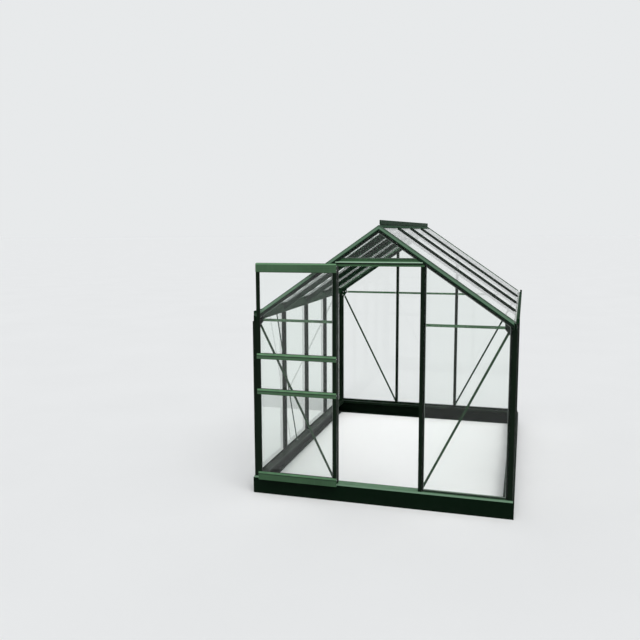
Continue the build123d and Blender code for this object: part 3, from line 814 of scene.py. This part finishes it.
# %% Bead ring
def bead_ring(name, low, high, cuts, width, thickness):
    """Ring in the plane of a wall. It faces the weather, and cuts give points and normals."""
    deselect()
    middle = ((low[0] + high[0]) / 2, 0, (low[1] + high[1]) / 2)
    bpy.ops.mesh.primitive_plane_add(size=1, location=middle, rotation=(math.pi / 2, 0, 0))
    bpy.context.object.scale = (high[0] - low[0], high[1] - low[1], 1)
    ring = applied(name)
    for point, normal in cuts:
        pick_faces(ring, lambda centre, facing: True)
        bpy.ops.mesh.bisect(plane_co=point, plane_no=normal, clear_outer=True)
        leave_edit()
    pick_faces(ring, lambda centre, facing: True)
    bpy.ops.mesh.inset(thickness=width, depth=0)
    bpy.ops.mesh.delete(type="FACE")
    bpy.ops.mesh.select_all(action="SELECT")
    bpy.ops.mesh.extrude_region_move(TRANSFORM_OT_translate={"value": (0, -thickness, 0)})
    leave_edit()
    mend_normals(ring)
    bevel_edges(
        ring, lambda a, b: max(a.y, b.y) < -thickness + hair,
        width=0.25 * min(width, thickness), segments=2)
    return ring


# %% [markdown]
# Each gable has a bead in both outer panes, cut along its own slope, and one in the middle pane,
# which is cut along both slopes. At the front that middle pane starts above the head bar.

# %% Beads of the gables
bead_width, bead_depth = 0.0035, 0.003
bay_near, bay_far, peak_half = 0.3345, 0.906, 0.295
rear_near, rear_peak_half = door_post_middle + 0.012, door_post_middle - 0.012
under_peak = (0, 0, gable_edge(0, rafter_web))
right_slope = (under_peak, (slope_across, 0, slope_up))
left_slope = (under_peak, (-slope_across, 0, slope_up))


def gable_beads(name, wall, near, half, middle_foot):
    """Beads of the two outer panes and of the middle pane of one gable."""
    panes = [(near, bay_far, wall_bar_foot, [right_slope]),
             (-bay_far, -near, wall_bar_foot, [left_slope]),
             (-half, half, middle_foot, [right_slope, left_slope])]
    beads = []
    for low_x, high_x, foot, cuts in panes:
        ring = bead_ring("bead", (low_x, foot), (high_x, apex_z), cuts, bead_width, bead_depth)
        beads.append(copies_of(ring, "bead", [wall @ at(0, gasket_face, 0)]))
    finish_piece(joined(beads, name), grey_bead, "greenhouse")


gable_beads("front_beads", FRONT, bay_near, peak_half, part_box("head_bar")[1][2])
gable_beads("rear_beads", BACK, rear_near, rear_peak_half, wall_bar_foot)

# %% [markdown]
# The panes of the door sit in slots, with a black wedge seal pressed in along all four edges, on
# the face and on the back. The ring made for the gable beads serves again, without cuts, once for
# each pane and each side. On the back it is mirrored, which turns a ring inside out, so the
# normals are made anew.

# %% Door seals
door_low, door_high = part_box("door_stiles")
stile = 0.025
pane_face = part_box("door_glass")[0][1] - front_y
pane_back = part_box("door_glass")[1][1] - front_y
head_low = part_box("door_head_rail")[0][2]
daylights = [(foot_rail_top, mid_low[2]), (mid_low[2] + mid_rail, mid_high[2] - mid_rail),
             (mid_high[2], head_low)]
left_light, right_light = door_low[0] + stile, door_high[0] - stile
seal_width, seal_depth = 0.0032, 0.0026
door_seals = []
for low_z, high_z in daylights:
    low, high = (left_light, low_z), (right_light, high_z)
    for pane_side, turn in ((pane_face, 1), (pane_back, -1)):
        ring = bead_ring("seal", low, high, [], seal_width, seal_depth)
        place = FRONT @ at(0, pane_side, 0) @ Matrix.Scale(turn, 4, (0, 1, 0))
        door_seals.append(copies_of(ring, "seal", [place]))
        mend_normals(door_seals[-1])
finish_piece(joined(door_seals, "door_seals"), seal_rubber, "door")

# %% [markdown]
# The aluminium bars are bolted together, and the nuts show on the inside through the glass. One
# nut is modelled: a six sided cylinder on a thin washer, its upper corners bevelled, with the end
# of the bolt drawn up out of its middle.

# %% Nut
nut_across, nut_height = 0.0115, 0.005
washer_radius, washer_height = 0.0068, 0.001
bolt_rise = 0.0022


def nut_model():
    washer = add_disc("washer", washer_radius, 0, washer_height, 24)
    pick_faces(washer, lambda centre, normal: normal.z > 0.9)
    bpy.ops.mesh.bevel(offset=0.0003, segments=1, affect="EDGES")
    leave_edit()
    top = washer_height + nut_height
    nut = add_disc("nut", nut_across / 2, washer_height, top, 6)
    bevel_edges(nut, lambda a, b: min(a.z, b.z) > top - hair, width=0.0007, segments=1)
    pick_faces(nut, lambda centre, normal: normal.z > 0.99)
    bpy.ops.mesh.inset(thickness=0.0014, depth=0)
    bpy.ops.mesh.inset(thickness=0.0004, depth=-0.0003)
    bpy.ops.mesh.extrude_region_move(TRANSFORM_OT_translate={"value": (0, 0, bolt_rise)})
    bpy.ops.mesh.inset(thickness=0.0005, depth=0.0004)
    leave_edit()
    return joined([nut, washer], "nut")


print("nut", nut_across, "m across and", nut_height, "m high")

# %% [markdown]
# The nuts go where rails, braces and corner plates meet. In the gables a corner plate has three
# holes and a rail two, and a brace is bolted near both ends. A brace of a long wall is bolted at
# its head, where it crosses a bar, and at its foot. Holes are measured along the wall and up.

# %% Nuts of the frame
INWARD = own_frame((0, 0, 0), (1, 0, 0), (0, 0, -1))
plate_face = glass_inset + 2 * wall_thickness
brace_face = plate_face + wall_thickness
rail_half = 0.010
rail_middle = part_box("front_rails")[0][2] + rail_half
post_inner = 0.918
plate_holes = [(post_inner - 0.038, rail_middle + 0.004), (post_inner - 0.012, rail_middle),
               (post_inner - 0.008, rail_middle - 0.034)]
rail_holes = [(0.333, rail_middle), (0.858, rail_middle)]
brace_foot, brace_head = Vector((0.3225, wall_bar_foot)), Vector((0.906, rail_middle - rail_half))
brace_holes = [brace_foot.lerp(brace_head, share) for share in (0.022, 0.968)]
places = []
for wall in (FRONT, BACK):
    for turn in (-1, 1):
        for holes, face in ((plate_holes + rail_holes, plate_face), (brace_holes, brace_face)):
            places += [wall @ at(turn * x, face, z) @ INWARD for x, z in holes]

side_depth = glass_inset + bar_depth + wall_thickness
head_bays, foot_bays, brace_shift = 0.70, 1.49, 0.035
head_t, foot_t = [bays * side_bay - 2 * side_bay - brace_shift for bays in (head_bays, foot_bays)]
side_head, side_foot = Vector((head_t, beam_bottom)), Vector((foot_t, sill_top))
crossing = (-side_bay - head_t) / (foot_t - head_t)
for wall, turn in ((RIGHT, 1), (LEFT, -1)):
    for share in (0.012, crossing, 0.985):
        hole = side_head.lerp(side_foot, share)
        places.append(wall @ at(turn * hole.x, side_depth, hole.y) @ INWARD)
finish_piece(copies_of(nut_model(), "frame_nuts", places), zinc_bolt, "greenhouse")

# %% [markdown]
# The stiles of the door are screwed to the ends of its rails from the side. A screw head is a
# short cylinder whose rim is bevelled round, with a small recess: its top face is inset to the
# size of the recess and pushed in.

# %% Door screws
def screw_model():
    radius, thickness = 0.0038, 0.0018
    head = add_disc("screw", radius, 0, thickness, 20)
    bevel_edges(head, lambda a, b: min(a.z, b.z) > thickness - hair, width=0.0011, segments=3)
    inset_faces(head, lambda centre, normal: normal.z > 0.999, [(0.0012, 0), (0.0003, -0.0009)])
    return head


LEFTWARD = own_frame((0, 0, 0), (0, 0, 1), (0, 1, 0))
RIGHTWARD = own_frame((0, 0, 0), (0, 0, -1), (0, 1, 0))
door_back, body_face = -0.018, -0.031
body_middle = (body_face + door_back) / 2
door_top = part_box("door_head_rail")[1][2]
screw_low, screw_high = 0.048, 0.016
screw_heights = [rail_top - drop for rail_top in (foot_rail_top, door_top)
                 for drop in (screw_low, screw_high)]
screw_heights += [mid_low[2] + mid_rail / 2, mid_high[2] - mid_rail / 2]
places = [FRONT @ at(x, body_middle, height) @ outward
          for x, outward in ((door_low[0], LEFTWARD), (door_high[0], RIGHTWARD))
          for height in screw_heights]
finish_piece(copies_of(screw_model(), "door_screws", places), zinc_bolt, "door")

# %% [markdown]
# The door hangs on two small nylon wheels that run on the ledge of the track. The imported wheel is
# a plain disc on a pin. The finer one has a grooved tread, a dished face and a pin of its own, and
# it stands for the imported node: the side faces of a cylinder are inset and pushed in for the
# groove, and the front face is inset and pushed in to leave a rim.

# %% Door wheels
wheel_low, wheel_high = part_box("door_rollers")
wheel_radius = (wheel_high[2] - wheel_low[2]) / 2
wheel_z = (wheel_low[2] + wheel_high[2]) / 2
wheel_back = wheel_high[1] - front_y
pin_length = wheel_high[1] - wheel_low[1]
wheel_width, pin_radius = 0.006, 0.003


def wheel_model():
    wheel = add_disc("wheel", wheel_radius, 0, wheel_width, 40)
    inset_faces(wheel, lambda centre, normal: abs(normal.z) < 0.1,
                [(0.0012, 0), (0.0006, -0.0007)])
    inset_faces(wheel, lambda centre, normal: normal.z > 0.99,
                [(0.0011, 0), (0.0003, -0.0010)])
    pin = add_disc("pin", pin_radius, wheel_width / 2, pin_length, 20)
    bevel_edges(pin, lambda a, b: min(a.z, b.z) > pin_length - hair, width=0.0005, segments=2)
    return joined([wheel, pin], "wheel")


OUTWARD = own_frame((0, 0, 0), (1, 0, 0), (0, 0, 1))
places = [FRONT @ at(x, wheel_back, wheel_z) @ OUTWARD
          for x in (wheel_low[0] + wheel_radius, wheel_high[0] - wheel_radius)]
wheels = copies_of(wheel_model(), "door_wheels", places)
finish_piece(wheels, black_nylon, "door")
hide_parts("door_rollers")

# %% [markdown]
# Each gutter is closed at both ends by a moulded cap, which shows in the photograph as a small
# flat end at the corner of the roof. A block is stretched over the end of the gutter, its face is
# inset and pushed in, so that a rim stands around it, and its upright outer edges are bevelled.

# %% Gutter end caps
cap_low, cap_high = -0.0118, 0.006
cap_floor, cap_top, cap_depth = beam_bottom + 0.0408, beam_bottom + 0.0708, 0.0028
upright = cap_top - cap_floor - 0.001


def cap_model():
    model = add_block("cap", (cap_low, -cap_depth, cap_floor), (cap_high, 0, cap_top))
    inset_faces(model, lambda centre, normal: normal.y < -0.9, [(0.0022, 0), (0.0008, -0.0010)])
    bevel_edges(
        model, lambda a, b: max(a.y, b.y) < -cap_depth + hair and (a - b).length > upright,
        width=0.0007, segments=2)
    return model


gutter_setback = 0.055
caps = []
for side in (1, -1):
    for end_y, turn in ((front_y + gutter_setback, 1), (back_y - gutter_setback, -1)):
        place = Matrix.Translation((side * half_width, end_y, 0))
        flip = Matrix.Scale(side, 4, (1, 0, 0)) @ Matrix.Scale(turn, 4, (0, 1, 0))
        caps.append(copies_of(cap_model(), "cap", [place @ flip]))
        mend_normals(caps[-1])
finish_piece(joined(caps, "gutter_end_caps"), ridge_green, "greenhouse")

# %% [markdown]
# The vent is a light frame around its own pane, bedded in a black seal. The seal is the same ring
# as before, laid into the slope instead of the wall, just inside the rails of the vent.

# %% Vent seal
vent_start, vent_length, vent_rail = 0.026, 0.536, 0.022
vent_from, vent_to = vent_start + vent_rail, vent_start + vent_length - vent_rail
vent_face = roof_cap_top + wall_thickness + glass
vent_middle = side_bay / 2
vent_reach = vent_middle + bar_half_cap - vent_rail
vent_seal_width, vent_seal_depth = 0.0045, 0.003
vent_frame_low, vent_frame_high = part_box("vent_frame")
print("the vent frame lies between", round(vent_frame_low[2], 3), "and",
      round(vent_frame_high[2], 3), "m above the ground")
ring = bead_ring(
    "vent_seal", (vent_from, -vent_reach), (vent_to, vent_reach), [],
    vent_seal_width, vent_seal_depth)
place = ROOF_LEFT @ at(0, vent_middle, vent_face) @ INWARD
finish_piece(copies_of(ring, "vent_seal", [place]), seal_rubber, "greenhouse")

# %% [markdown]
# The floor is a plain pale sheet, far larger than the greenhouse, so that its edge lies near the
# horizon. It keeps the soft shadow of the frame. It is pale only for rays that are seen, those of
# the camera, of reflections and of the view through glass, and greyer for light that bounces, so
# that it doesn't light the frame from below.

# %% Floor
floor_radius = 300.0
seen_floor, bounced_floor = (0.86, 0.86, 0.855, 1), (0.30, 0.30, 0.29, 1)


def seen_rays(tree):
    """One for rays that are seen, as long as no diffuse bounce came before."""
    path = add_node(tree, "ShaderNodeLightPath").outputs
    seen = sum_of(tree, "MAXIMUM", path["Is Camera Ray"], path["Is Glossy Ray"])
    seen = sum_of(tree, "MAXIMUM", seen, path["Is Transmission Ray"])
    straight = sum_of(tree, "LESS_THAN", path["Diffuse Depth"], 0.5)
    return sum_of(tree, "MULTIPLY", seen, straight)


floor_finish, tree, shader = start_material("studio_floor")
floor_tone = remap(tree, noise(tree, scale=0.8, detail=3.0), 0.3, 0.7, 0.99, 1.01)
pale_floor = {"Value": floor_tone, "Color": seen_floor}
floor_colour = add_node(tree, "ShaderNodeHueSaturation", pale_floor).outputs["Color"]
shown_colour = mixed(tree, seen_rays(tree), bounced_floor, floor_colour)
feed(tree, shader.inputs["Base Color"], shown_colour)
shader.inputs["Roughness"].default_value = 0.85
shader.inputs["Specular IOR Level"].default_value = 0.2
deselect()
bpy.ops.mesh.primitive_circle_add(
    vertices=96, radius=floor_radius, fill_type="NGON", location=(0, 0, 0))
floor = bpy.context.object
floor.name = "floor"
floor.data.materials.append(floor_finish)
print("floor radius", floor_radius, "m")

# %% [markdown]
# The light is that of an overcast day: a sun lamp as wide as a bright cloud gives the shape, and
# the world fills in from all round. The backdrop is a pale colour that only the camera, reflections
# and the view through glass see, so that metal and panes mirror it, and it adds no light.

# %% Light and backdrop
scene = bpy.context.scene
scene.view_settings.view_transform = "Standard"
daylight = bpy.data.lights.new("daylight", "SUN")
daylight.energy = 2.0
daylight.angle = math.radians(50)
lamp = bpy.data.objects.new("daylight", daylight)
lamp.visible_glossy = False
towards_lamp = Vector((0.25, -0.45, 0.86))
lamp.matrix_world = towards_lamp.to_track_quat("Z", "Y").to_matrix().to_4x4()
scene.collection.objects.link(lamp)

world = bpy.data.worlds.new("studio")
world.use_nodes = True
tree = world.node_tree
tree.nodes.clear()


def background(colour, strength):
    lit = {"Color": (*colour, 1), "Strength": strength}
    return add_node(tree, "ShaderNodeBackground", lit).outputs[0]


sky_fill, backdrop_strength = 0.42, 0.83
fill = background((0.92, 0.96, 1.0), sky_fill)
backdrop = background((0.970, 0.990, 1.0), backdrop_strength)
blend = add_node(tree, "ShaderNodeMixShader", {0: seen_rays(tree), 1: fill, 2: backdrop})
shown = add_node(tree, "ShaderNodeOutputWorld")
tree.links.new(blend.outputs[0], shown.inputs["Surface"])
scene.world = world
print("daylight", daylight.energy, "sky fill", sky_fill)
